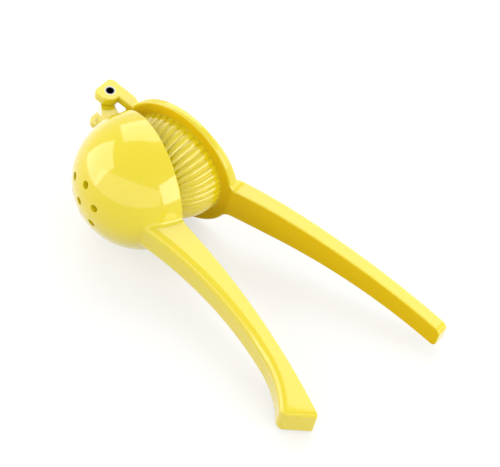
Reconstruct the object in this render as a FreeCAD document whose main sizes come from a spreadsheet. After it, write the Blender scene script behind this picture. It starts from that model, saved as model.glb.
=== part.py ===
"""Hinged lemon squeezer: two cast levers joined by one pin, lying half open on its side.

Tool frame in which the pieces are drawn, in millimetres, with the tool shut: the origin is the centre of the
bowl's half ball, +X runs along the handles, +Y is the side on which the tool opens, +Z is the pin's direction.
The row frame has +Z up, z = 0 is the surface that the tool lies on, and the origin is under the middle.
"""
import FreeCAD, Part

import math
import os

import Sketcher
from FreeCAD import Placement, Rotation, Vector

SIZES = [
    ("bowl_radius", 37.5, "outer radius of the bowl's half ball"),
    ("bowl_wall", 3.2, "wall of the bowl"),
    ("rim_rise", 4.1, "height of the rim above the centre of the half ball"),
    ("rim_round", 0.6, "rounding of the rim's edges"),
    ("drain_radius", 2.2, "radius of one drain hole"),
    ("drain_count", 6, "drain holes on the ring round the middle one"),
    ("drain_ring_radius", 12.95, "radius of the ring of drain holes"),
    ("closing_gap", 0.3, "gap between the rim and the flange when shut"),
    ("opening_angle", 21.2, "angle between the levers as they lie"),
    ("hinge_offset", 13.0, "distance from the bowl's side to the pin's axis"),
    ("lug_half_width", 9.7, "half the width of the lug"),
    ("knuckle_radius", 4.4, "radius of the lug's round end"),
    ("lug_flank_angle", 24.6, "slope of the lug's underside against the rim"),
    ("lug_inset", 4.5, "how far the lug runs into the bowl's side"),
    ("lug_round", 2.5, "rounding between the lug and the bowl"),
    ("ear_gap", 0.4, "side gap between the lug and an ear"),
    ("ear_thickness", 4.5, "thickness of an ear"),
    ("ear_radius", 7.2, "half the height of an ear, and the radius of its round side"),
    ("ear_set_back", 1.0, "distance from the pin's axis back to the middle of that round side"),
    ("ear_end_reach", 6.0, "distance from the pin's axis to the flat end of an ear"),
    ("ear_corner", 3.2, "rounding of the corners of that end"),
    ("ear_round", 0.8, "rounding of an ear's outer edge"),
    ("pin_radius", 2.5, "radius of the pin's shank"),
    ("pin_clearance", 0.05, "radial clearance of the pin in the lug"),
    ("head_radius", 3.0, "radius of the pin's rolled ends"),
    ("head_depth", 1.0, "depth of the seat for a rolled end"),
    ("head_bore_radius", 1.95, "radius of the hollow in a pin end"),
    ("head_bore_depth", 9.0, "depth of the hollow in a pin end"),
    ("flange_overhang", 0.3, "how far the flange stands past the bowl's side"),
    ("flange_thickness", 3.9, "thickness of the flange ring"),
    ("flange_round", 0.7, "rounding of the flange's outer back edge"),
    ("flange_face_round", 1.6, "rounding of the flange's edge on the side of the bowl"),
    ("flange_ramp_reach", 22.0, "length over which the flange thickens towards the handle"),
    ("flange_ramp_rise", 1.8, "how much thicker the flange is at the handle"),
    ("peel_gap", 3.8, "room for peel between the dome and the bowl"),
    ("dome_wall", 3.6, "wall of the hollow dome"),
    ("rib_count", 42, "ribs round the dome"),
    ("groove_radius", 1.75, "radius of the groove between two ribs"),
    ("groove_lift", 0.85, "height of the groove's centre above the dome at the flange"),
    ("groove_angle", 72.0, "angle from the flange at which a groove runs out"),
    ("slot_wall", 0.7, "metal between the fork's slot and the flange"),
    ("arm_shoulder", 1.9, "distance from the flange at which an arm starts to drop"),
    ("arm_inset", 4.3, "how far an arm runs in over the flange"),
    ("arm_bow", 8.0, "radius of an arm's drop to the flange"),
    ("cup_root_half_width", 9.3, "half the cup handle's width at the bowl"),
    ("cup_end_half_width", 8.5, "half the cup handle's width at its end"),
    ("cup_root_inset", 7.5, "how far the cup handle runs into the bowl's side"),
    ("cup_root_reach", 2.5, "distance from the bowl at which the inner face leaves the rim"),
    ("cup_root_sweep", 20.0, "radius of the bend there"),
    ("cup_reach", 130.9, "distance from the bowl to the cup handle's inner end corner"),
    ("cup_end_rise", 8.0, "height of that corner above the rim"),
    ("cup_inner_bow", 444.0, "radius of the cup handle's inner face"),
    ("cup_waist_reach", 89.5, "distance from the bowl to the thinnest place"),
    ("cup_waist_drop", 0.6, "depth of the outer face there below the rim"),
    ("cup_outer_bow", 221.0, "radius of the cup handle's outer face"),
    ("cup_lip_reach", 121.8, "distance from the bowl to the outer corner of the flared end"),
    ("cup_lip_bow", 62.0, "radius of the flared end's outer face"),
    ("cup_outer_round", 4.0, "rounding of the cup handle's outer edges"),
    ("cup_end_round", 2.2, "rounding of the corners of the cup handle's end"),
    ("press_root_half_width", 10.5, "half the press handle's width at the flange"),
    ("press_flare_bow", 4.5, "radius of the sweep from the press handle's side to the flange's edge"),
    ("press_flare_turn", 65.0, "angle through which that sweep bends"),
    ("press_flare_reach", 1.75, "distance from the flange at which that sweep starts"),
    ("press_flare_corner", 2.5, "rounding of the corner where that sweep ends on the flange"),
    ("press_root_side_bow", 390.0, "radius of the bulging sides next to the flange"),
    ("press_waist_reach", 26.2, "distance from the flange at which the sides start to hollow"),
    ("press_waist_half_width", 10.0, "half the press handle's width there"),
    ("press_side_bow", 1800.0, "radius of the hollow sides further out"),
    ("press_end_half_width", 7.0, "half the press handle's width at its end"),
    ("press_reach", 131.6, "distance from the flange to the press handle's end"),
    ("press_end_rise", 13.2, "height of the inner end corner above the flange face"),
    ("press_inner_bow", 409.0, "radius of the press handle's inner face"),
    ("press_root_setback", 1.3, "distance inside the flange's edge at which the inner face starts"),
    ("press_root_sweep", 10.0, "radius of the bend there"),
    ("press_root_thickness", 10.8, "height of the outer face at the root above the flange face"),
    ("press_end_thickness", 7.4, "thickness of the press handle at its end"),
    ("press_outer_bow", 438.0, "radius of the press handle's outer face"),
    ("nose_shoulder", 2.4, "distance from the flange at which the handle's back starts to drop"),
    ("nose_inset", 9.3, "how far the handle's root runs in over the flange"),
    ("nose_foot", 0.5, "height at which the root runs out above the flange's back"),
    ("nose_bow", 7.0, "radius of both bends of the root's drop to the flange"),
    ("press_outer_round", 1.6, "rounding of the press handle's outer edges"),
    ("press_end_round", 3.5, "rounding of the corners of the press handle's end"),
    ("inner_round", 0.8, "rounding of the handles' inner edges"),
    ("cup_root_round", 3.0, "rounding between the cup handle and the bowl"),
    ("arm_root_round", 1.0, "rounding between the arms and the flange"),
]

doc = FreeCAD.newDocument("lemon_squeezer")
sheet = doc.addObject("Spreadsheet::Sheet", "sizes")


class Size:
    """A number together with the sheet formula that gives it."""

    def __init__(self, value, formula):
        self.value = value
        self.formula = formula

    def joined(self, sign, other, value):
        other_formula = other.formula if isinstance(other, Size) else repr(float(other))
        return Size(value, f"({self.formula} {sign} {other_formula})")

    def __add__(self, other):
        return self.joined("+", other, self.value + number(other))

    def __sub__(self, other):
        return self.joined("-", other, self.value - number(other))

    def __mul__(self, other):
        return self.joined("*", other, self.value * number(other))

    def __truediv__(self, other):
        return self.joined("/", other, self.value / number(other))

    def __neg__(self):
        return self * -1


def number(size):
    """The plain number of a size."""
    return size.value if isinstance(size, Size) else float(size)


def sine(angle):
    """The sine of an angle in degrees."""
    return Size(math.sin(math.radians(angle.value)), f"sin({angle.formula})")


def cosine(angle):
    """The cosine of an angle in degrees."""
    return Size(math.cos(math.radians(angle.value)), f"cos({angle.formula})")


def root(size):
    """The square root of a size."""
    return Size(math.sqrt(size.value), f"sqrt({size.formula})")


def arc_drop(radius, run):
    """How far an arc falls over a run that starts where the arc is level."""
    return radius - root(radius * radius - run * run)


def write_sheet():
    """Write every driving size to the sheet and return the sizes by name."""
    sizes = {}
    for row, (alias, value, words) in enumerate(SIZES, start=1):
        sheet.set(f"A{row}", words)
        sheet.set(f"B{row}", str(value))
        sheet.setAlias(f"B{row}", alias)
        sizes[alias] = Size(float(value), f"sizes.{alias}")
    doc.recompute()
    return sizes


s = write_sheet()
ZERO = s["rim_rise"] * 0
ONE = ZERO + 1
rim = s["rim_rise"]
inner_radius = s["bowl_radius"] - s["bowl_wall"]
flange_face = rim + s["closing_gap"]
flange_back = flange_face + s["flange_thickness"]
flange_radius = s["bowl_radius"] + s["flange_overhang"]
dome_radius = inner_radius - s["peel_gap"]
hollow_radius = dome_radius - s["dome_wall"]
hinge_x = -(s["bowl_radius"] + s["hinge_offset"])
hinge_y = rim + s["closing_gap"] * 0.5
ear_inside = s["lug_half_width"] + s["ear_gap"]
ear_outside = ear_inside + s["ear_thickness"]
ear_top = hinge_y + s["ear_radius"]
ear_bottom = hinge_y - s["ear_radius"]
cup_waist_y = rim - s["cup_waist_drop"]
press_end_y = flange_face + s["press_end_rise"]

# A groove runs round an axis beside the dome's centre, so that it gets shallower towards the pole.
groove_start = dome_radius + s["groove_lift"]
groove_end = dome_radius + s["groove_radius"]
groove_axis_x = (groove_end * groove_end - groove_start * groove_start) / (
    (groove_end * cosine(s["groove_angle"]) - groove_start) * 2)


def new_body(name):
    """A body of its own for one physical piece."""
    body = doc.addObject("PartDesign::Body", name)
    body.Label = name
    return body


def origin_feature(body, role):
    """One of the body's own origin planes or axes."""
    return next(feature for feature in body.Origin.OriginFeatures if feature.Role == role)


def sketch_on(body, name, role="XY_Plane", **offsets):
    """An empty sketch on one of the body's origin planes, moved by sizes along its own x, y or z."""
    sketch = body.newObject("Sketcher::SketchObject", name)
    sketch.AttachmentSupport = [(origin_feature(body, role), "")]
    sketch.MapMode = "FlatFace"
    for direction, size in offsets.items():
        bind(sketch, f"AttachmentOffset.Base.{direction}", size)
    return sketch


def bind(target, path, size):
    """Tie a property or a sketch constraint to its formula."""
    target.setExpression(path, size.formula)


def pin_down(sketch, geometry, vertex, x, y):
    """Fix one point of a sketch at sizes measured from the sketch's origin."""
    for direction, size in (("DistanceX", x), ("DistanceY", y)):
        constraint = Sketcher.Constraint(direction, -1, 1, geometry, vertex, number(size))
        index = sketch.addConstraint(constraint)
        name = f"{direction}_{geometry}_{vertex}"
        sketch.renameConstraint(index, name)
        bind(sketch, f"Constraints.{name}", size)


def set_radius(sketch, geometry, radius):
    """Tie the radius of an arc or circle to its size."""
    index = sketch.addConstraint(Sketcher.Constraint("Radius", geometry, number(radius)))
    sketch.renameConstraint(index, f"radius_{geometry}")
    bind(sketch, f"Constraints.radius_{geometry}", radius)


def add_arc(sketch, start, end, radius, bulge):
    """Add the short arc between two points; a bulge of 1 lies to the left of the way, -1 to the right.

    Arcs are stored turning counter-clockwise, so one that bulges left runs from its end to its start.
    """
    chord = end - start
    half = chord.Length / 2
    left = Vector(-chord.y, chord.x, 0).normalize()
    centre = start + chord * 0.5 - left * (bulge * math.sqrt(radius * radius - half * half))
    first, last = (end, start) if bulge > 0 else (start, end)
    angles = [math.atan2(point.y - centre.y, point.x - centre.x) for point in (first, last)]
    ring = Part.Circle(centre, Vector(0, 0, 1), radius)
    return sketch.addGeometry(Part.ArcOfCircle(ring, angles[0], angles[1]), False)


def outline(sketch, corners):
    """Close a loop of straight and round runs.

    A corner is (x, y) where a straight run starts, or (x, y, radius, bulge) where an arc starts.
    """
    points = [Vector(number(corner[0]), number(corner[1]), 0) for corner in corners]
    runs = []
    for index, corner in enumerate(corners):
        start = points[index]
        end = points[(index + 1) % len(points)]
        if len(corner) == 2:
            runs.append((sketch.addGeometry(Part.LineSegment(start, end), False), 1, 2))
            continue
        run = add_arc(sketch, start, end, number(corner[2]), corner[3])
        runs.append((run, 2, 1) if corner[3] > 0 else (run, 1, 2))
    for index, (run, first, last) in enumerate(runs):
        following, next_first, _ = runs[(index + 1) % len(runs)]
        sketch.addConstraint(Sketcher.Constraint("Coincident", run, last, following, next_first))
        pin_down(sketch, run, first, corners[index][0], corners[index][1])
        if len(corners[index]) == 4:
            set_radius(sketch, run, corners[index][2])


def circle(sketch, x, y, radius):
    """A full circle with its centre and radius tied to sizes."""
    centre = Vector(number(x), number(y), 0)
    run = sketch.addGeometry(Part.Circle(centre, Vector(0, 0, 1), number(radius)), False)
    pin_down(sketch, run, 3, x, y)
    set_radius(sketch, run, radius)


def tilt(sketch, slope):
    """Tilt a sketch on the XZ plane so that it climbs towards +Y by the slope as it goes along +X."""
    sketch.AttachmentOffset = Placement(sketch.AttachmentOffset.Base, Rotation(Vector(0, 1, 0), 1))
    sketch.setExpression("AttachmentOffset.Rotation.Angle", f"atan({slope.formula})")


def extrude(body, kind, name, sketch, length=None, side="Symmetric"):
    """A pad or pocket; it runs the same way to both sides of its sketch unless another side is named."""
    feature = body.newObject(f"PartDesign::{kind}", name)
    feature.Profile = sketch
    feature.SideType = side
    if length is None:
        feature.Type = "ThroughAll"
    else:
        bind(feature, "Length", length)
    doc.recompute()
    return feature


def turn(body, kind, name, sketch, axis="Y_Axis"):
    """A full turn of the sketch about one of the body's origin axes."""
    feature = body.newObject(f"PartDesign::{kind}", name)
    feature.Profile = sketch
    feature.ReferenceAxis = (origin_feature(body, axis), [""])
    feature.Angle = 360
    doc.recompute()
    return feature


def repeat_round(body, name, original, count):
    """Repeat a feature evenly round the bowl's axis."""
    pattern = body.newObject("PartDesign::PolarPattern", name)
    pattern.Originals = [original]
    pattern.Axis = (origin_feature(body, "Y_Axis"), [""])
    pattern.Angle = 360
    body.Tip = pattern
    bind(pattern, "Occurrences", count)
    doc.recompute()
    return pattern


def mirror(body, name, original):
    """Repeat a feature on the other side of the middle plane."""
    pattern = body.newObject("PartDesign::Mirrored", name)
    pattern.Originals = [original]
    pattern.MirrorPlane = (origin_feature(body, "XY_Plane"), [""])
    body.Tip = pattern
    doc.recompute()
    return pattern


def middle_of(edge):
    """The point half-way along an edge."""
    return edge.valueAt((edge.FirstParameter + edge.LastParameter) / 2)


def is_sharp(shape, edge):
    """Whether the two faces along an edge meet at an angle, as against running on smoothly."""
    point = middle_of(edge)
    normals = []
    for face in shape.ancestorsOfType(edge, Part.Face):
        u, v = face.Surface.parameter(point)
        normals.append(face.normalAt(u, v))
    return len(normals) == 2 and normals[0].getAngle(normals[1]) > math.radians(8)


def round_edges(body, name, radius, wanted):
    """Round every sharp edge of the body for which wanted(middle point, bounding box) is true."""
    base = body.Tip
    edges = [
        f"Edge{index}"
        for index, edge in enumerate(base.Shape.Edges, start=1)
        if wanted(middle_of(edge), edge.BoundBox) and is_sharp(base.Shape, edge)
    ]
    fillet = body.newObject("PartDesign::Fillet", name)
    fillet.Base = (base, edges)
    bind(fillet, "Radius", radius)
    doc.recompute()
    return fillet


def cup_lever():
    """The lower casting: bowl, drain holes, hinge lug and the handle with its flared end."""
    body = new_body("cup_lever")

    root_x = s["bowl_radius"] - s["cup_root_inset"]
    waist_x = s["bowl_radius"] + s["cup_waist_reach"]
    lip_x = s["bowl_radius"] + s["cup_lip_reach"]
    end_x = s["bowl_radius"] + s["cup_reach"]
    sweep_x = s["bowl_radius"] + s["cup_root_reach"]
    handle = sketch_on(body, "cup_handle_outline")
    outline(handle, [
        (root_x, cup_waist_y - arc_drop(s["cup_outer_bow"], waist_x - root_x), s["cup_outer_bow"], 1),
        (waist_x, cup_waist_y, s["cup_lip_bow"], 1),
        (lip_x, cup_waist_y - arc_drop(s["cup_lip_bow"], lip_x - waist_x)),
        (end_x, rim + s["cup_end_rise"], s["cup_inner_bow"], -1),
        (sweep_x, rim),
        (root_x, rim),
    ])
    extrude(body, "Pad", "cup_handle", handle, s["cup_root_half_width"] * 2.5)

    sides = sketch_on(body, "cup_handle_sides", "XZ_Plane")
    outside = s["cup_root_half_width"] * 2
    for side in (1, -1):
        outline(sides, [
            (root_x - 1, s["cup_root_half_width"] * side),
            (end_x + 1, s["cup_end_half_width"] * side),
            (end_x + 1, outside * side),
            (root_x - 1, outside * side),
        ])
    extrude(body, "Pocket", "cup_handle_taper", sides)

    near_end = number(lip_x) - 1
    near_root = number(root_x) + 0.1
    half_way_up = number(rim + s["cup_end_rise"] / 2)
    round_edges(body, "cup_root_sweep", s["cup_root_sweep"],
                lambda middle, box: box.YLength < 0.1 and abs(middle.x - number(sweep_x)) < 0.1)
    round_edges(body, "cup_end_corners", s["cup_end_round"],
                lambda middle, box: box.XMin > near_end and box.ZLength < 1)
    round_edges(body, "cup_outer_edges", s["cup_outer_round"],
                lambda middle, box: box.XMax > near_root and box.YMax < half_way_up and middle.y < number(rim) - 0.1)
    round_edges(body, "cup_inner_edges", s["inner_round"],
                lambda middle, box: box.XMax > near_root and box.YMin > number(rim) - 0.1)

    ball = sketch_on(body, "ball_outline")
    outline(ball, [
        (ZERO, -s["bowl_radius"], s["bowl_radius"], -1),
        (s["bowl_radius"], ZERO),
        (s["bowl_radius"], rim - s["rim_round"], s["rim_round"], -1),
        (s["bowl_radius"] - s["rim_round"], rim),
        (ZERO, rim),
    ])
    turn(body, "Revolution", "ball", ball)

    round_edges(body, "cup_handle_root", s["cup_root_round"],
                lambda middle, box: number(root_x) < middle.x < number(sweep_x) and box.YMin < number(rim) - 1)

    lug = sketch_on(body, "lug_outline")
    flank = s["lug_flank_angle"]
    tangent_x = hinge_x - s["knuckle_radius"] * sine(flank)
    tangent_y = hinge_y - s["knuckle_radius"] * cosine(flank)
    lug_root_x = -(s["bowl_radius"] - s["lug_inset"])
    outline(lug, [
        (hinge_x, rim),
        (tangent_x, tangent_y),
        (lug_root_x, tangent_y - (lug_root_x - tangent_x) * sine(flank) / cosine(flank)),
        (lug_root_x, rim),
    ])
    extrude(body, "Pad", "lug", lug, s["lug_half_width"] * 2)
    knuckle = sketch_on(body, "knuckle_outline")
    circle(knuckle, hinge_x, hinge_y, s["knuckle_radius"])
    extrude(body, "Pad", "knuckle", knuckle, s["lug_half_width"] * 2)

    lug_edge = -number(s["bowl_radius"] + s["lug_inset"])
    round_edges(body, "lug_root", s["lug_round"],
                lambda middle, box: lug_edge < middle.x < 0 and box.YMin < number(rim) - 1)

    cavity = sketch_on(body, "cavity_outline")
    outline(cavity, [
        (ZERO, -inner_radius, inner_radius, -1),
        (inner_radius, ZERO),
        (inner_radius, rim - s["rim_round"], s["rim_round"], 1),
        (inner_radius + s["rim_round"], rim),
        (inner_radius + s["rim_round"], rim * 2),
        (ZERO, rim * 2),
    ])
    turn(body, "Groove", "cavity", cavity)

    bore = sketch_on(body, "lug_bore_outline")
    circle(bore, hinge_x, hinge_y, s["pin_radius"] + s["pin_clearance"])
    extrude(body, "Pocket", "lug_bore", bore)

    middle_drain = sketch_on(body, "middle_drain_outline", "XZ_Plane")
    circle(middle_drain, ZERO, ZERO, s["drain_radius"])
    extrude(body, "Pocket", "middle_drain", middle_drain)
    ring_drain = sketch_on(body, "ring_drain_outline", "XZ_Plane")
    circle(ring_drain, ZERO, s["drain_ring_radius"], s["drain_radius"])
    drain = extrude(body, "Pocket", "ring_drain", ring_drain)
    repeat_round(body, "ring_drains", drain, s["drain_count"])
    return body


def press_lever():
    """The upper casting: ribbed dome with its flange, fork for the hinge, and the slimmer handle."""
    body = new_body("press_lever")

    arm_x = -(flange_radius + s["arm_shoulder"])
    arm_root_x = -(flange_radius - s["arm_inset"])
    ear_end_x = hinge_x - s["ear_end_reach"]
    ear_corner_x = ear_end_x + s["ear_corner"]
    ear_middle_x = hinge_x - s["ear_set_back"]
    ear_foot_y = flange_face - hinge_y
    ear_foot_x = ear_middle_x + root(s["ear_radius"] * s["ear_radius"] - ear_foot_y * ear_foot_y)
    arms = sketch_on(body, "arms_outline")
    outline(arms, [
        (arm_root_x, flange_face),
        (arm_root_x, flange_back, s["arm_bow"], -1),
        (arm_x, ear_top),
        (ear_corner_x, ear_top, s["ear_corner"], -1),
        (ear_end_x, ear_top - s["ear_corner"]),
        (ear_end_x, ear_bottom + s["ear_corner"], s["ear_corner"], -1),
        (ear_corner_x, ear_bottom),
        (ear_middle_x, ear_bottom, s["ear_radius"], -1),
        (ear_foot_x, flange_face),
    ])
    extrude(body, "Pad", "arms", arms, ear_outside * 2)
    slot = sketch_on(body, "slot_outline")
    slot_end_x = -(flange_radius + s["slot_wall"])
    slot_start_x = hinge_x - s["ear_radius"] * 2
    outline(slot, [
        (slot_start_x, -ear_top),
        (slot_end_x, -ear_top),
        (slot_end_x, ear_top * 2),
        (slot_start_x, ear_top * 2),
    ])
    extrude(body, "Pocket", "fork_slot", slot, ear_inside * 2)
    outer_side = number(ear_outside)
    arm_root = number(arm_root_x)
    round_edges(body, "ear_edges", s["ear_round"],
                lambda middle, box: abs(abs(middle.z) - outer_side) < 0.01 and middle.x < arm_root - 0.1)

    nose_x = flange_radius - s["nose_inset"]
    foot_y = flange_back + s["nose_foot"]
    shoulder_x = flange_radius + s["nose_shoulder"]
    shoulder_y = flange_face + s["press_root_thickness"]
    end_x = flange_radius + s["press_reach"]
    handle = sketch_on(body, "press_handle_outline")
    outline(handle, [
        (nose_x, flange_face),
        (flange_radius - s["press_root_setback"], flange_face, s["press_inner_bow"], 1),
        (end_x, press_end_y),
        (end_x, press_end_y + s["press_end_thickness"], s["press_outer_bow"], -1),
        (shoulder_x, shoulder_y, s["nose_bow"], -1),
        ((shoulder_x + nose_x) / 2, (shoulder_y + foot_y) / 2, s["nose_bow"], 1),
        (nose_x, foot_y),
    ])
    extrude(body, "Pad", "press_handle", handle, s["press_root_half_width"] * 3)
    sides = sketch_on(body, "press_handle_sides", "XZ_Plane")
    waist_x = flange_radius + s["press_waist_reach"]
    outside = s["press_root_half_width"] * 2
    flare_x = flange_radius + s["press_flare_reach"]
    flare_end_x = flare_x - s["press_flare_bow"] * sine(s["press_flare_turn"])
    flare_width = s["press_root_half_width"] + s["press_flare_bow"] * (ONE - cosine(s["press_flare_turn"]))
    for side in (1, -1):
        outline(sides, [
            (nose_x, flare_width * side),
            (flare_end_x, flare_width * side, s["press_flare_bow"], -side),
            (flare_x, s["press_root_half_width"] * side, s["press_root_side_bow"], side),
            (waist_x, s["press_waist_half_width"] * side, s["press_side_bow"], -side),
            (end_x, s["press_end_half_width"] * side),
            (end_x + 1, s["press_end_half_width"] * side),
            (end_x + 1, outside * side),
            (nose_x, outside * side),
        ])
    extrude(body, "Pocket", "press_handle_taper", sides)

    near_end = number(end_x) - 1
    near_root = number(nose_x) + 0.1
    end_middle_y = number(press_end_y + s["press_end_thickness"] / 2)
    sweep_x = number(flange_radius - s["press_root_setback"])
    round_edges(body, "press_root_sweep", s["press_root_sweep"],
                lambda middle, box: box.YLength < 0.1 and abs(middle.x - sweep_x) < 0.1)
    flare_corner_x = number(flare_end_x)
    round_edges(body, "press_flare_corners", s["press_flare_corner"],
                lambda middle, box: abs(middle.x - flare_corner_x) < 0.1 and box.XLength < 0.1 and box.ZLength < 0.1)
    round_edges(body, "press_end_corners", s["press_end_round"],
                lambda middle, box: box.XMin > near_end and box.ZLength < 0.1)
    round_edges(body, "press_outer_edges", s["press_outer_round"],
                lambda middle, box: box.XMax > near_root and box.YMin > number(flange_back) - 0.1
                and (middle.y > end_middle_y or middle.x < number(waist_x)))
    round_edges(body, "press_inner_edges", s["inner_round"],
                lambda middle, box: box.XMax > near_root and box.XMin > 0 and middle.y < end_middle_y
                and box.YMin < number(flange_back))

    slope = s["flange_ramp_rise"] / s["flange_ramp_reach"]
    ramp_y = flange_back + s["flange_ramp_rise"] - flange_radius * slope
    ramp = sketch_on(body, "flange_ramp_outline", "XZ_Plane", z=-ramp_y)
    tilt(ramp, slope)
    ramp_radius = flange_radius - s["flange_round"] * 0.5
    chord_x = flange_radius - s["flange_ramp_reach"] - s["flange_thickness"]
    chord_z = root(ramp_radius * ramp_radius - chord_x * chord_x)
    outline(ramp, [
        (chord_x, -chord_z, ramp_radius, -1),
        (chord_x, chord_z),
    ])
    extrude(body, "Pad", "flange_ramp", ramp, s["flange_thickness"] * 0.5, "One side")

    dome = sketch_on(body, "dome_outline")
    turned_in = flange_radius - s["flange_round"]
    outline(dome, [
        (ZERO, flange_face - dome_radius, dome_radius, -1),
        (dome_radius, flange_face),
        (flange_radius - s["flange_face_round"], flange_face, s["flange_face_round"], -1),
        (flange_radius, flange_face + s["flange_face_round"]),
        (flange_radius, flange_back - s["flange_round"], s["flange_round"], -1),
        (turned_in, flange_back),
        (ZERO, flange_back),
    ])
    turn(body, "Revolution", "dome", dome)

    above_edge = number(flange_face + s["flange_face_round"]) + 0.1
    round_edges(body, "arm_roots", s["arm_root_round"],
                lambda middle, box: number(arm_x) < middle.x < number(arm_root_x) + 6
                and box.YMax > above_edge and abs(middle.z) > number(ear_inside))

    hollow = sketch_on(body, "hollow_outline")
    opening_height = s["flange_thickness"] + s["flange_ramp_rise"]
    opening = root(hollow_radius * hollow_radius - opening_height * opening_height)
    outline(hollow, [
        (ZERO, flange_face - hollow_radius, hollow_radius, -1),
        (hollow_radius, flange_face, hollow_radius, -1),
        (opening, flange_face + opening_height),
        (ZERO, flange_face + opening_height),
    ])
    turn(body, "Groove", "hollow", hollow)

    bore = sketch_on(body, "ear_bore_outline")
    circle(bore, hinge_x, hinge_y, s["pin_radius"])
    extrude(body, "Pocket", "ear_bore", bore)
    seat = sketch_on(body, "pin_seat_outline", z=ear_outside)
    circle(seat, hinge_x, hinge_y, s["head_radius"])
    upper_seat = extrude(body, "Pocket", "pin_seat", seat, s["head_depth"], "One side")
    mirror(body, "pin_seats", upper_seat)

    ribs = sketch_on(body, "rib_groove_outline", "XZ_Plane", x=-groove_axis_x, z=-flange_face)
    circle(ribs, groove_axis_x - groove_start, ZERO, s["groove_radius"])
    groove = body.newObject("PartDesign::Groove", "rib_groove")
    groove.Profile = ribs
    groove.ReferenceAxis = (ribs, ["V_Axis"])
    bind(groove, "Angle", s["groove_angle"] + 3)
    doc.recompute()
    repeat_round(body, "rib_grooves", groove, s["rib_count"])
    return body


def hinge_pin():
    """The steel pin with its rolled, hollow ends, drawn round its own axis."""
    body = new_body("hinge_pin")
    seat = ear_outside - s["head_depth"]
    floor = ear_outside - s["head_bore_depth"]
    profile = sketch_on(body, "pin_outline", "XZ_Plane")
    outline(profile, [
        (ZERO, -floor),
        (s["head_bore_radius"], -floor),
        (s["head_bore_radius"], -ear_outside),
        (s["head_radius"], -ear_outside),
        (s["head_radius"], -seat),
        (s["pin_radius"], -seat),
        (s["pin_radius"], seat),
        (s["head_radius"], seat),
        (s["head_radius"], ear_outside),
        (s["head_bore_radius"], ear_outside),
        (s["head_bore_radius"], floor),
        (ZERO, floor),
    ])
    turn(body, "Revolution", "pin", profile, "Z_Axis")
    return body


def points_of(shape):
    """Points spread over the surface of a shape."""
    return shape.tessellate(0.02)[0]


def resting_rotation(cup_points, press_points):
    """The rotation that lays the tool on its bowl, its flange and the cup handle's end, +X along the cup handle.

    The three places that touch the surface depend on the way up, so the way up is found by trial.
    """
    beyond = number(s["bowl_radius"]) * 3
    cup_end = [point for point in cup_points if point.x > beyond]
    up = Vector(0, 0, 1)
    for _ in range(12):
        ball_foot = up * -number(s["bowl_radius"])
        cup_foot = min(cup_end, key=up.dot)
        press_foot = min(press_points, key=up.dot)
        up = (cup_foot - ball_foot).cross(press_foot - ball_foot).normalize()
    along = (Vector(1, 0, 0) - up * up.x).normalize()
    return Rotation(along, up.cross(along), up, "ZXY").inverted()


def lay_down(cup, press, pin):
    """Open the press lever, lay the tool on its side and bring the middle of its footprint to the origin."""
    hinge = Vector(number(hinge_x), number(hinge_y), 0)
    opening = Placement(Vector(), Rotation(Vector(0, 0, 1), number(s["opening_angle"])), hinge)
    press_points = [opening.multVec(point) for point in points_of(press.Shape)]
    cup_points = points_of(cup.Shape)
    rotation = resting_rotation(cup_points, press_points)
    laid = [rotation.multVec(point) for point in cup_points + press_points]
    middle_x = (min(point.x for point in laid) + max(point.x for point in laid)) / 2
    middle_y = (min(point.y for point in laid) + max(point.y for point in laid)) / 2
    resting = Placement(Vector(-middle_x, -middle_y, -min(point.z for point in laid)), rotation)
    cup.Placement = resting
    press.Placement = resting * opening
    pin.Placement = resting * opening * Placement(hinge, Rotation())
    doc.recompute()


def check(pieces):
    """Stop before anything is written if a feature failed or a piece isn't one sound solid."""
    for feature in doc.Objects:
        if "Invalid" in feature.State or "Error" in feature.State:
            raise RuntimeError(f"{feature.Label} failed")
    for piece in pieces:
        if piece.Shape.isNull() or not piece.Shape.isValid() or len(piece.Shape.Solids) != 1:
            raise RuntimeError(f"{piece.Label} isn't one sound solid")


cup = cup_lever()
press = press_lever()
pin = hinge_pin()
lay_down(cup, press, pin)
check([cup, press, pin])
os.makedirs("parts", exist_ok=True)
for piece in (cup, press, pin):
    piece.Shape.exportStep(f"parts/{piece.Label}.step")
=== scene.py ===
"""The looks of a hinged lemon squeezer: glossy yellow enamel on two castings, and a bright steel pin.

The file is laid out as an add-on and run as a script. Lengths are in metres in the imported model's frame.
"""

import math

import bmesh
import bpy
import numpy as np
from bpy.props import FloatProperty, FloatVectorProperty, IntProperty, PointerProperty
from bpy.types import Operator, Panel, PropertyGroup
from mathutils import Matrix, Vector


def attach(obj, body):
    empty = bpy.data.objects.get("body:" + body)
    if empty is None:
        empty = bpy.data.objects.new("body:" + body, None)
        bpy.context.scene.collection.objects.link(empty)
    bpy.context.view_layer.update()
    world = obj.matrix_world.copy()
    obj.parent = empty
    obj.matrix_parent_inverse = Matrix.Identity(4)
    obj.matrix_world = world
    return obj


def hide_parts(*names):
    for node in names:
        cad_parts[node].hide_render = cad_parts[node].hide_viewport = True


bl_info = {
    "name": "Hinged lemon squeezer",
    "version": (1, 0, 0),
    "blender": (4, 5, 0),
    "location": "View3D > Sidebar > Squeezer",
    "description": "Enamelled castings, steel pin and stage of a hinged lemon squeezer",
    "category": "Object",
}

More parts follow.
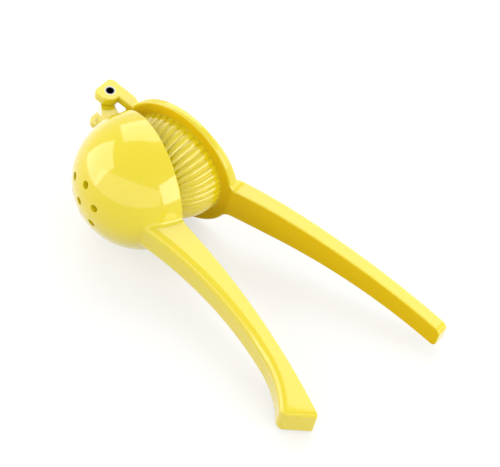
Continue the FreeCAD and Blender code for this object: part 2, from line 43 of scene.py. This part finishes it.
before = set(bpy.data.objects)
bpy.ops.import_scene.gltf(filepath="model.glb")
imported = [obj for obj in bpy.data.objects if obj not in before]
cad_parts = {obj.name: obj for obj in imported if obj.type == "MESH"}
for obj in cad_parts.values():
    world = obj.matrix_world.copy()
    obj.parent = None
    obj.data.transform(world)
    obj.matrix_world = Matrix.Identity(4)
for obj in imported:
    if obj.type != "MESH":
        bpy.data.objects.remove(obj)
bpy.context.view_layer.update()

# Middle of the dome in the plane of its flange, and the press lever's directions: along its handle,
# away from the bowl, and along the hinge.
DOME_MIDDLE = np.array((-0.0570699, -0.0100153, 0.0377429))
ALONG = np.array((0.9168798, 0.3615614, -0.1691297))
OUTWARD = np.array((-0.359129, 0.9321608, 0.0458536))
HINGE_LINE = np.array((0.1742349, 0.0186972, 0.9845266))
HINGE_MIDDLE = np.array((-0.1033185, -0.0284139, 0.046277))

# How finely the ribbed dome is drawn: steps across one rib, and from its flange to its pole, outside and
# at the back.
RIB_STEPS = 18
OUTSIDE_STEPS = 61
BACK_STEPS = 31
# Angles in degrees up from the flange at which the drawn dome starts, a little inside the flange, and at
# which it closes to its pole.
LOWEST_RISE = -1.0
HIGHEST_RISE = 89.0
SHELL_THICKNESS = 0.0018
# The furrow's roundness, and the power that makes a rib's crest broad.
FURROW_ROUNDNESS = 0.012
CREST_POWER = 0.27

# Corners nearer than this are one, faces that turn by less than the flat angle are one, and edges that turn
# by more than the sharp angle stay sharp; both angles are in degrees.
MERGE_DISTANCE = 1e-6
FLAT_ANGLE = 0.05
SHARP_ANGLE = 30.0

# Scales of the patterns in the enamel and the steel, in cells to the metre.
CLOUD_SCALE = 26.0
SMEAR_SCALE = 70.0
PIT_SCALE = 420.0
GRAIN_SCALE = 900.0
# Turning marks round the pin, in radians to the metre.
TURNING_SCALE = 30000.0

# How far the clouds carry the colour to the deep one, and the roughness between which the smears drift.
CLOUD_SHARE = 0.18
SMOOTHEST = 0.16
ROUGHEST = 0.30
# What the inner side adds to the roughness.
INNER_ROUGHNESS = 0.5
# The share of cells without a pit, the distances from a cell's middle at which a pit is whole and has ended,
# and how far a pit carries the colour to its own.
PITLESS_SHARE = 0.93
PIT_CORE = 0.05
PIT_RIM = 0.13
PIT_STRENGTH = 0.5
PIT_COLOR = (0.42, 0.28, 0.004, 1.0)

# Ends of the ramps that bound the inner side, where the enamel takes painted shade and a duller gloss: how
# much of the normal points at the bowl, the distance from the dome's middle, and the place along the lever.
INWARD = (0.72, 0.98)
PAST_DOME = (0.0306, 0.0312)
PAST_FORK = (-0.040, -0.034)

# Colour of the painted shade inside the pin's rolled ends.
BORE_SHADE_COLOR = (0.012, 0.012, 0.013, 1.0)
# Half the width of the soft edge between the bright ring and the painted shade at the end of the pin.
RING_BLUR = 0.00015

FLOOR_REACH = 4.0
LAMP_AIM = Vector((-0.04, -0.02, 0.04))
LAMP_DISTANCE = 1.3
# Name, direction round and up from the aim, width and height as angles in degrees, and radiance.
LAMPS = (
    ("left_lamp", -128.0, 17.0, 48.0, 54.0, 2.3),
    ("top_lamp", 146.0, 48.0, 60.0, 44.0, 2.2),
    ("right_lamp", 23.0, 9.0, 40.0, 48.0, 3.7),
    ("front_lamp", -56.0, 16.0, 110.0, 46.0, 1.15),
    ("back_lamp", 88.0, 14.0, 80.0, 40.0, 1.1),
)
SENSOR_WIDTH = 36.0
CAMERA_PLACE = Vector((0.689194, -0.446037, 0.886972))
CAMERA_RIGHT = Vector((0.491617, 0.868726, 0.060235))
CAMERA_BACK = Vector((0.580005, -0.378253, 0.72147))


class EnamelSettings(PropertyGroup):
    """Colour and surface of the enamel on both castings."""

    color: FloatVectorProperty(
        name="Enamel colour", description="Colour of the enamel in linear light", subtype="COLOR",
        size=3, min=0.0, max=1.0, default=(0.72, 0.60, 0.008))
    # Painted shade: the press lever's inner side takes this colour in full as shade, while soft clouds carry
    # the enamel a little way towards it as a real drift of tone.
    cloud_and_shade_color: FloatVectorProperty(
        name="Deep enamel", description="Colour where the enamel lies thick", subtype="COLOR",
        size=3, min=0.0, max=1.0, default=(0.76, 0.51, 0.001))
    gloss: FloatProperty(
        name="Gloss", description="Strength of the clear glossy layer",
        subtype="FACTOR", min=0.0, max=1.0, default=1.0)
    inner_gloss: FloatProperty(
        name="Inner gloss", description="Strength of the glossy layer on the press lever's inner side",
        subtype="FACTOR", min=0.0, max=1.0, default=0.02)
    peel_size: FloatProperty(
        name="Ripple size", description="Width of the faint ripple in the enamel",
        unit="LENGTH", min=0.0005, default=0.004)


class DomeSettings(PropertyGroup):
    """Sizes of the ribbed dome."""

    radius: FloatProperty(
        name="Dome radius", description="Radius over the ribs", unit="LENGTH", min=0.01, default=0.03055)
    ribs: IntProperty(
        name="Ribs", description="Number of ribs round the dome", min=3, default=42)
    rib_height: FloatProperty(
        name="Rib height", description="Height of a rib at the flange",
        unit="LENGTH", min=0.0, default=0.00088)
    run_out: FloatProperty(
        name="Run-out", description="Angle from the flange at which the ribs have sunk into the dome",
        subtype="ANGLE", min=0.1, default=math.radians(73))


class SteelSettings(PropertyGroup):
    """Colour and surface of the steel pin."""

    color: FloatVectorProperty(
        name="Steel colour", description="Colour of the steel in linear light", subtype="COLOR",
        size=3, min=0.0, max=1.0, default=(0.27, 0.27, 0.27))
    roughness: FloatProperty(
        name="Roughness", description="Roughness of the turned steel",
        subtype="FACTOR", min=0.0, max=1.0, default=0.25)
    # Painted shade: inside this distance from the axis the pin's ends are painted dark, as the shade inside
    # the rolled ends.
    bore_shade_radius: FloatProperty(
        name="Dark radius", description="Distance from the axis inside which the pin's ends are dark",
        unit="LENGTH", min=0.0, default=0.0023)


class StageSettings(PropertyGroup):
    """Floor, lamps and camera."""

    floor_color: FloatVectorProperty(
        name="Floor colour", description="Colour of the pale floor", subtype="COLOR",
        size=3, min=0.0, max=1.0, default=(0.42, 0.42, 0.42))
    floor_glow: FloatProperty(
        name="Floor glow", description="Brightness that the floor shows on top of its light",
        min=0.0, default=0.56)
    sky: FloatProperty(
        name="Sky", description="Light that the plain surroundings give", min=0.0, default=0.47)
    lens: FloatProperty(
        name="Lens", description="Focal length of the camera",
        subtype="DISTANCE_CAMERA", min=1.0, default=162.68)


SETTINGS = {
    "squeezer_enamel": EnamelSettings,
    "squeezer_dome": DomeSettings,
    "squeezer_steel": SteelSettings,
    "squeezer_stage": StageSettings,
}


def add_node(tree, kind, sockets=None, **properties):
    """A node with some properties and the defaults of some sockets, by name or number, set."""
    node = tree.nodes.new(kind)
    for name, value in properties.items():
        setattr(node, name, value)
    for name, value in (sockets or {}).items():
        node.inputs[name].default_value = value
    return node


def add_ramp(tree, low, high, start=0.0, end=1.0):
    """A node that carries low to start and high to end, and holds start and end beyond them."""
    limits = {"From Min": low, "From Max": high, "To Min": start, "To Max": end}
    return add_node(tree, "ShaderNodeMapRange", limits)


def new_material(name):
    """A node material with nothing in it but its output."""
    material = bpy.data.materials.new(name)
    material.use_nodes = True
    tree = material.node_tree
    tree.nodes.clear()
    return material, tree, tree.nodes.new("ShaderNodeOutputMaterial")


def enamel_body():
    """The group that gives enamel its body: a drifting tone of colour, painted shade where its input asks, a
    faint ripple and a few tiny pits.
    """
    group = bpy.data.node_groups.new("enamel_body", "ShaderNodeTree")
    sockets = (
        ("Color", "INPUT", "NodeSocketColor"),
        ("Cloud And Shade Color", "INPUT", "NodeSocketColor"),
        ("Depth", "INPUT", "NodeSocketFloat"),
        ("Ripple Scale", "INPUT", "NodeSocketFloat"),
        ("Color", "OUTPUT", "NodeSocketColor"),
        ("Roughness", "OUTPUT", "NodeSocketFloat"),
        ("Height", "OUTPUT", "NodeSocketFloat"),
    )
    for name, way, kind in sockets:
        group.interface.new_socket(name, in_out=way, socket_type=kind)
    link = group.links.new
    given = group.nodes.new("NodeGroupInput")
    result = group.nodes.new("NodeGroupOutput")
    place = group.nodes.new("ShaderNodeTexCoord")

    # Colour drifts towards the deeper colour in soft clouds, and reaches it as painted shade where the shade
    # input is 1.
    drift = add_node(group, "ShaderNodeTexNoise", {"Scale": CLOUD_SCALE, "Detail": 3.0, "Roughness": 0.5})
    share = add_ramp(group, 0.35, 0.65, 0.0, CLOUD_SHARE)
    drift_and_shade = add_node(group, "ShaderNodeMath", operation="ADD", use_clamp=True)
    color = add_node(group, "ShaderNodeMix", data_type="RGBA")
    link(place.outputs["Object"], drift.inputs["Vector"])
    link(drift.outputs["Fac"], share.inputs["Value"])
    link(share.outputs["Result"], drift_and_shade.inputs[0])
    link(given.outputs["Depth"], drift_and_shade.inputs[1])
    link(drift_and_shade.outputs[0], color.inputs["Factor"])
    link(given.outputs["Color"], color.inputs["A"])
    link(given.outputs["Cloud And Shade Color"], color.inputs["B"])

    # A few cells have a pit at their middle.
    cells = add_node(group, "ShaderNodeTexVoronoi", {"Scale": PIT_SCALE})
    middle = add_ramp(group, PIT_CORE, PIT_RIM, 1.0, 0.0)
    chance = add_node(group, "ShaderNodeSeparateColor")
    few = add_node(group, "ShaderNodeMath", {1: PITLESS_SHARE}, operation="GREATER_THAN")
    pit = add_node(group, "ShaderNodeMath", operation="MULTIPLY")
    link(place.outputs["Object"], cells.inputs["Vector"])
    link(cells.outputs["Distance"], middle.inputs["Value"])
    link(cells.outputs["Color"], chance.inputs["Color"])
    link(chance.outputs["Red"], few.inputs[0])
    link(middle.outputs["Result"], pit.inputs[0])
    link(few.outputs[0], pit.inputs[1])
    faint = add_node(group, "ShaderNodeMath", {1: PIT_STRENGTH}, operation="MULTIPLY")
    pitted = add_node(group, "ShaderNodeMix", data_type="RGBA")
    pitted.inputs["B"].default_value = PIT_COLOR
    link(pit.outputs[0], faint.inputs[0])
    link(faint.outputs[0], pitted.inputs["Factor"])
    link(color.outputs["Result"], pitted.inputs["A"])
    link(pitted.outputs["Result"], result.inputs["Color"])

    # The surface is the ripple less the pits.
    ripple = add_node(group, "ShaderNodeTexNoise", {"Detail": 2.0, "Roughness": 0.45})
    height = add_node(group, "ShaderNodeMath", operation="SUBTRACT")
    link(place.outputs["Object"], ripple.inputs["Vector"])
    link(given.outputs["Ripple Scale"], ripple.inputs["Scale"])
    link(ripple.outputs["Fac"], height.inputs[0])
    link(pit.outputs[0], height.inputs[1])
    link(height.outputs[0], result.inputs["Height"])

    smear = add_node(group, "ShaderNodeTexNoise", {"Scale": SMEAR_SCALE, "Detail": 4.0})
    roughness = add_ramp(group, 0.3, 0.7, SMOOTHEST, ROUGHEST)
    link(place.outputs["Object"], smear.inputs["Vector"])
    link(smear.outputs["Fac"], roughness.inputs["Value"])
    link(roughness.outputs["Result"], result.inputs["Roughness"])
    return group


def inner_side(tree):
    """A socket that is 1 on the press lever's side towards the bowl, outside the dome, and 0 elsewhere: the
    mask of painted shade.

    It is the part of the surface's normal that points at the bowl, taken as a ramp, times a ramp over
    the distance from the dome's middle, times a ramp along the lever that leaves the fork out.
    """
    link = tree.links.new
    place = tree.nodes.new("ShaderNodeTexCoord")
    facing = add_node(tree, "ShaderNodeVectorMath", {1: -OUTWARD}, operation="DOT_PRODUCT")
    inward = add_ramp(tree, *INWARD)
    link(place.outputs["Normal"], facing.inputs[0])
    link(facing.outputs["Value"], inward.inputs["Value"])

    away = add_node(tree, "ShaderNodeVectorMath", {1: DOME_MIDDLE}, operation="DISTANCE")
    past_dome = add_ramp(tree, *PAST_DOME)
    link(place.outputs["Object"], away.inputs[0])
    link(away.outputs["Value"], past_dome.inputs["Value"])

    offset = add_node(tree, "ShaderNodeVectorMath", {1: DOME_MIDDLE}, operation="SUBTRACT")
    along = add_node(tree, "ShaderNodeVectorMath", {1: ALONG}, operation="DOT_PRODUCT")
    past_fork = add_ramp(tree, *PAST_FORK)
    link(place.outputs["Object"], offset.inputs[0])
    link(offset.outputs["Vector"], along.inputs[0])
    link(along.outputs["Value"], past_fork.inputs["Value"])

    ring = add_node(tree, "ShaderNodeMath", operation="MULTIPLY")
    mask = add_node(tree, "ShaderNodeMath", operation="MULTIPLY")
    link(inward.outputs["Result"], ring.inputs[0])
    link(past_dome.outputs["Result"], ring.inputs[1])
    link(ring.outputs[0], mask.inputs[0])
    link(past_fork.outputs["Result"], mask.inputs[1])
    return mask.outputs[0]


def enamel_material(name, group, settings, shade_and_dull_inside):
    """Glossy enamel over a casting, with painted shade and a duller gloss on the inner side where the last
    argument is set.
    """
    material, tree, output = new_material(name)
    link = tree.links.new
    body = tree.nodes.new("ShaderNodeGroup")
    body.node_tree = group
    body.inputs["Color"].default_value = (*settings.color, 1.0)
    body.inputs["Cloud And Shade Color"].default_value = (*settings.cloud_and_shade_color, 1.0)
    body.inputs["Ripple Scale"].default_value = 1.0 / settings.peel_size
    bump = add_node(tree, "ShaderNodeBump", {"Strength": 0.06, "Distance": 0.0002})
    shader = add_node(tree, "ShaderNodeBsdfPrincipled", {
        "Specular IOR Level": 0.15, "Coat Weight": settings.gloss, "Coat Roughness": 0.03, "Coat IOR": 1.55})
    link(body.outputs["Color"], shader.inputs["Base Color"])
    link(body.outputs["Roughness"], shader.inputs["Roughness"])
    link(body.outputs["Height"], bump.inputs["Height"])
    link(bump.outputs["Normal"], shader.inputs["Normal"])
    link(shader.outputs["BSDF"], output.inputs["Surface"])
    if shade_and_dull_inside:
        # The inner side takes the deeper colour in full as painted shade, and a rougher coat with less
        # gloss.
        inside = inner_side(tree)
        gloss = add_ramp(tree, 0.0, 1.0, settings.gloss, settings.inner_gloss)
        duller = add_node(
            tree, "ShaderNodeMath", {1: INNER_ROUGHNESS}, operation="MULTIPLY_ADD", use_clamp=True)
        link(inside, duller.inputs[0])
        link(body.outputs["Roughness"], duller.inputs[2])
        link(duller.outputs[0], shader.inputs["Roughness"])
        link(inside, body.inputs["Depth"])
        link(inside, gloss.inputs["Value"])
        link(gloss.outputs["Result"], shader.inputs["Coat Weight"])
    return material


def steel_material(settings):
    """Bright turned steel with fine turning marks round the pin, and painted shade inside its rolled ends.

    The marks are waves of the distance from the pin's axis, and the painted shade is a ramp over that
    distance.
    """
    material, tree, output = new_material("bright_steel")
    link = tree.links.new
    place = tree.nodes.new("ShaderNodeTexCoord")
    offset = add_node(tree, "ShaderNodeVectorMath", {1: HINGE_MIDDLE}, operation="SUBTRACT")
    across = add_node(tree, "ShaderNodeVectorMath", {1: HINGE_LINE}, operation="CROSS_PRODUCT")
    reach = add_node(tree, "ShaderNodeVectorMath", operation="LENGTH")
    link(place.outputs["Object"], offset.inputs[0])
    link(offset.outputs["Vector"], across.inputs[0])
    link(across.outputs["Vector"], reach.inputs[0])

    # Painted shade inside this distance from the axis, bright steel outside it.
    ring = add_ramp(tree, settings.bore_shade_radius - RING_BLUR, settings.bore_shade_radius + RING_BLUR)
    color = add_node(tree, "ShaderNodeMix", data_type="RGBA")
    color.inputs["A"].default_value = BORE_SHADE_COLOR
    color.inputs["B"].default_value = (*settings.color, 1.0)
    link(reach.outputs["Value"], ring.inputs["Value"])
    link(ring.outputs["Result"], color.inputs["Factor"])

    turns = add_node(tree, "ShaderNodeMath", {1: TURNING_SCALE}, operation="MULTIPLY")
    marks = add_node(tree, "ShaderNodeMath", operation="SINE")
    grain = add_node(tree, "ShaderNodeTexNoise", {"Scale": GRAIN_SCALE, "Detail": 2.0})
    height = add_node(tree, "ShaderNodeMath", operation="ADD")
    bump = add_node(tree, "ShaderNodeBump", {"Strength": 0.04, "Distance": 0.00005})
    link(reach.outputs["Value"], turns.inputs[0])
    link(turns.outputs[0], marks.inputs[0])
    link(place.outputs["Object"], grain.inputs["Vector"])
    link(marks.outputs[0], height.inputs[0])
    link(grain.outputs["Fac"], height.inputs[1])
    link(height.outputs[0], bump.inputs["Height"])

    shader = add_node(tree, "ShaderNodeBsdfPrincipled", {"Metallic": 1.0, "Roughness": settings.roughness})
    link(color.outputs["Result"], shader.inputs["Base Color"])
    link(bump.outputs["Normal"], shader.inputs["Normal"])
    link(shader.outputs["BSDF"], output.inputs["Surface"])
    return material


def add_piece(name, mesh, body):
    """An object for a mesh that rides on a body and takes its finish from a slot."""
    piece = bpy.data.objects.new(name, mesh)
    bpy.context.scene.collection.objects.link(piece)
    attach(piece, body)
    return piece


def closed_mesh(name, rings, first_pole, last_pole):
    """A closed mesh from rings of points, rows by columns by 3, and a pole at each end of the rows.

    Neighbouring rings are joined by four-sided faces, the columns close round, and the first and last rings
    are joined to their poles by triangles.
    """
    rows, columns = rings.shape[:2]
    points = np.concatenate((rings.reshape(-1, 3), first_pole[None], last_pole[None]))
    here = np.arange(columns)
    after = (here + 1) % columns
    row = (np.arange(rows - 1) * columns)[:, None]
    sides = np.stack((row + here, row + after, row + columns + after, row + columns + here), axis=-1)
    last_row = (rows - 1) * columns
    first_cap = np.stack((after, here, np.full(columns, rows * columns)), axis=-1)
    last_cap = np.stack((last_row + here, last_row + after, np.full(columns, rows * columns + 1)), axis=-1)
    faces = sides.reshape(-1, 4).tolist() + first_cap.tolist() + last_cap.tolist()
    mesh = bpy.data.meshes.new(name)
    mesh.from_pydata(points.tolist(), [], faces)
    work = bmesh.new()
    work.from_mesh(mesh)
    bmesh.ops.recalc_face_normals(work, faces=work.faces)
    work.to_mesh(mesh)
    work.free()
    mesh.shade_smooth()
    return mesh


def dome_points(reach, rise, turn):
    """Points at a distance from the dome's middle, an angle up from its flange and an angle round it."""
    level = (reach * np.cos(rise))[..., None]
    around = np.cos(turn)[:, None] * ALONG + np.sin(turn)[:, None] * HINGE_LINE
    return DOME_MIDDLE + level * around - (reach * np.sin(rise))[..., None] * OUTWARD


def ribbed_dome(settings, material):
    """The ribbed face of the dome, as a shell whose back lies inside the casting's wall.

    A point is at an angle round the dome and an angle up from its flange. Its distance from the middle is
    the radius less the rib height times how far it is below a rib's crest. The crest is a power of the
    squared sine of half the rib's phase, scaled to run from 0 in a furrow to 1, which makes ribs broad and
    furrows narrow. The rib height fades with the square of the angle up from the flange until the run-out.
    """
    turn = np.linspace(0, 2 * np.pi, settings.ribs * RIB_STEPS, endpoint=False)
    rise = np.radians(np.linspace(LOWEST_RISE, HIGHEST_RISE, OUTSIDE_STEPS))[:, None]
    crest = (np.sin(turn * settings.ribs / 2) ** 2 + FURROW_ROUNDNESS) ** CREST_POWER
    crest = (crest - crest.min()) / (crest.max() - crest.min())
    fade = np.clip(1 - (np.clip(rise, 0, None) / settings.run_out) ** 2, 0, 1)
    outside = dome_points(settings.radius - settings.rib_height * fade * (1 - crest), rise, turn)

    back_radius = settings.radius - SHELL_THICKNESS
    back_rise = np.radians(np.linspace(HIGHEST_RISE, LOWEST_RISE, BACK_STEPS))[:, None]
    back = dome_points(np.full((BACK_STEPS, turn.size), back_radius), back_rise, turn)

    rings = np.concatenate((back, outside))
    back_pole = DOME_MIDDLE - OUTWARD * back_radius
    pole = DOME_MIDDLE - OUTWARD * settings.radius
    mesh = closed_mesh("ribbed_dome", rings, back_pole, pole)
    mesh.materials.append(material)
    add_piece("ribbed_dome", mesh, "press_body")


def smooth_copy(node, name, material, body):
    """A copy of a node with its loose triangles merged, which stands for the node.

    Triangles in one plane become one face, so that the normals, which are weighted by area, leave flat faces
    flat and turn evenly over the rounded edges between them.
    """
    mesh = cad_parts[node].data.copy()
    work = bmesh.new()
    work.from_mesh(mesh)
    bmesh.ops.remove_doubles(work, verts=work.verts, dist=MERGE_DISTANCE)
    bmesh.ops.dissolve_limit(work, angle_limit=math.radians(FLAT_ANGLE), verts=work.verts, edges=work.edges)
    work.to_mesh(mesh)
    work.free()
    mesh.materials.clear()
    mesh.materials.append(material)
    mesh.shade_smooth()
    mesh.set_sharp_from_angle(angle=math.radians(SHARP_ANGLE))
    piece = add_piece(name, mesh, body)
    even = piece.modifiers.new("even_shading", "WEIGHTED_NORMAL")
    even.keep_sharp = True
    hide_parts(node)


class SQUEEZER_OT_castings(Operator):
    """Finish both castings in glossy yellow enamel"""

    bl_idname = "squeezer.castings"
    bl_label = "Castings"

    def execute(self, context):
        settings = context.scene.squeezer_enamel
        group = enamel_body()
        cup = enamel_material("cup_enamel", group, settings, False)
        press = enamel_material("press_enamel", group, settings, True)
        smooth_copy("cup_lever", "cup_lever_enamelled", cup, "cup_body")
        smooth_copy("press_lever", "press_lever_enamelled", press, "press_body")
        ribbed_dome(context.scene.squeezer_dome, press)
        return {"FINISHED"}


class SQUEEZER_OT_pin(Operator):
    """Finish the hinge pin in bright steel"""

    bl_idname = "squeezer.pin"
    bl_label = "Hinge pin"

    def execute(self, context):
        material = steel_material(context.scene.squeezer_steel)
        smooth_copy("hinge_pin", "hinge_pin_turned", material, "press_body")
        return {"FINISHED"}


def seen_directly(tree):
    """A socket that is 1 for camera, glossy and transmission rays, and 0 for diffuse ones."""
    link = tree.links.new
    rays = tree.nodes.new("ShaderNodeLightPath")
    mirrored = add_node(tree, "ShaderNodeMath", operation="MAXIMUM")
    seen = add_node(tree, "ShaderNodeMath", operation="MAXIMUM")
    link(rays.outputs["Is Glossy Ray"], mirrored.inputs[0])
    link(rays.outputs["Is Transmission Ray"], mirrored.inputs[1])
    link(rays.outputs["Is Camera Ray"], seen.inputs[0])
    link(mirrored.outputs[0], seen.inputs[1])
    return seen.outputs[0]


def pale_floor(scene, settings):
    """A wide floor that takes shadows, and that shows a little brighter than its light makes it."""
    material, tree, output = new_material("pale_floor")
    link = tree.links.new
    matt = add_node(tree, "ShaderNodeBsdfDiffuse", {"Color": (*settings.floor_color, 1.0)})
    strength = add_node(tree, "ShaderNodeMath", {1: settings.floor_glow}, operation="MULTIPLY")
    glow = tree.nodes.new("ShaderNodeEmission")
    both = tree.nodes.new("ShaderNodeAddShader")
    link(seen_directly(tree), strength.inputs[0])
    link(strength.outputs[0], glow.inputs["Strength"])
    link(matt.outputs[0], both.inputs[0])
    link(glow.outputs[0], both.inputs[1])
    link(both.outputs[0], output.inputs["Surface"])

    corners = [(x * FLOOR_REACH, y * FLOOR_REACH, 0.0) for x, y in ((-1, -1), (1, -1), (1, 1), (-1, 1))]
    mesh = bpy.data.meshes.new("floor")
    mesh.from_pydata(corners, [], [(0, 1, 2, 3)])
    mesh.materials.append(material)
    floor = bpy.data.objects.new("floor", mesh)
    scene.collection.objects.link(floor)


def surroundings(scene, settings):
    """Plain surroundings that are white to look at and give a soft even light."""
    world = bpy.data.worlds.new("surroundings")
    world.use_nodes = True
    tree = world.node_tree
    background = tree.nodes["Background"]
    background.inputs["Color"].default_value = (1.0, 1.0, 1.0, 1.0)
    level = add_ramp(tree, 0.0, 1.0, settings.sky, 1.0)
    tree.links.new(seen_directly(tree), level.inputs["Value"])
    tree.links.new(level.outputs["Result"], background.inputs["Strength"])
    scene.world = world


def lamp(scene, name, azimuth, elevation, width, height, radiance):
    """A rectangular lamp that faces the aim from a direction; all its angles are in degrees.

    Width and height are the angles that it fills as seen from the aim, and radiance is what its face shows
    in a mirror: a lamp's power is pi times its area times its radiance.
    """
    light = bpy.data.lights.new(name, "AREA")
    light.shape = "RECTANGLE"
    light.size = 2 * LAMP_DISTANCE * math.tan(math.radians(width / 2))
    light.size_y = 2 * LAMP_DISTANCE * math.tan(math.radians(height / 2))
    light.energy = radiance * math.pi * light.size * light.size_y
    level = LAMP_DISTANCE * math.cos(math.radians(elevation))
    place = LAMP_AIM + Vector((
        level * math.cos(math.radians(azimuth)),
        level * math.sin(math.radians(azimuth)),
        LAMP_DISTANCE * math.sin(math.radians(elevation))))
    holder = bpy.data.objects.new(name, light)
    holder.location = place
    holder.rotation_euler = (LAMP_AIM - place).to_track_quat("-Z", "Y").to_euler()
    scene.collection.objects.link(holder)


def camera(scene, settings):
    """The camera, from its place and its directions to the right and back."""
    data = bpy.data.cameras.new("camera")
    data.lens = settings.lens
    data.sensor_width = SENSOR_WIDTH
    holder = bpy.data.objects.new("camera", data)
    up = CAMERA_BACK.cross(CAMERA_RIGHT)
    turn = Matrix((CAMERA_RIGHT, up, CAMERA_BACK)).transposed().to_4x4()
    holder.matrix_world = Matrix.Translation(CAMERA_PLACE) @ turn
    scene.collection.objects.link(holder)
    scene.camera = holder


class SQUEEZER_OT_stage(Operator):
    """Set up the floor, the lamps, the surroundings and the camera"""

    bl_idname = "squeezer.stage"
    bl_label = "Stage"

    def execute(self, context):
        scene = context.scene
        settings = scene.squeezer_stage
        scene.view_settings.view_transform = "Standard"
        pale_floor(scene, settings)
        surroundings(scene, settings)
        for values in LAMPS:
            lamp(scene, *values)
        camera(scene, settings)
        return {"FINISHED"}


class SQUEEZER_PT_parts(Panel):
    """Lists the steps that finish the squeezer"""

    bl_label = "Lemon squeezer"
    bl_idname = "SQUEEZER_PT_parts"
    bl_space_type = "VIEW_3D"
    bl_region_type = "UI"
    bl_category = "Squeezer"

    def draw(self, context):
        for name in SETTINGS:
            settings = getattr(context.scene, name)
            column = self.layout.column()
            for field in settings.__annotations__:
                column.prop(settings, field)
        for step in STEPS:
            self.layout.operator(step.bl_idname)


STEPS = (SQUEEZER_OT_castings, SQUEEZER_OT_pin, SQUEEZER_OT_stage)
CLASSES = (*SETTINGS.values(), *STEPS, SQUEEZER_PT_parts)


def register():
    """Register the settings, the steps and the panel."""
    for entry in CLASSES:
        bpy.utils.register_class(entry)
    for name, settings in SETTINGS.items():
        setattr(bpy.types.Scene, name, PointerProperty(type=settings))


def unregister():
    """Undo register."""
    for name in SETTINGS:
        delattr(bpy.types.Scene, name)
    for entry in reversed(CLASSES):
        bpy.utils.unregister_class(entry)


def main():
    """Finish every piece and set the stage."""
    register()
    bpy.ops.squeezer.castings()
    bpy.ops.squeezer.pin()
    bpy.ops.squeezer.stage()


if __name__ == "__main__":
    main()
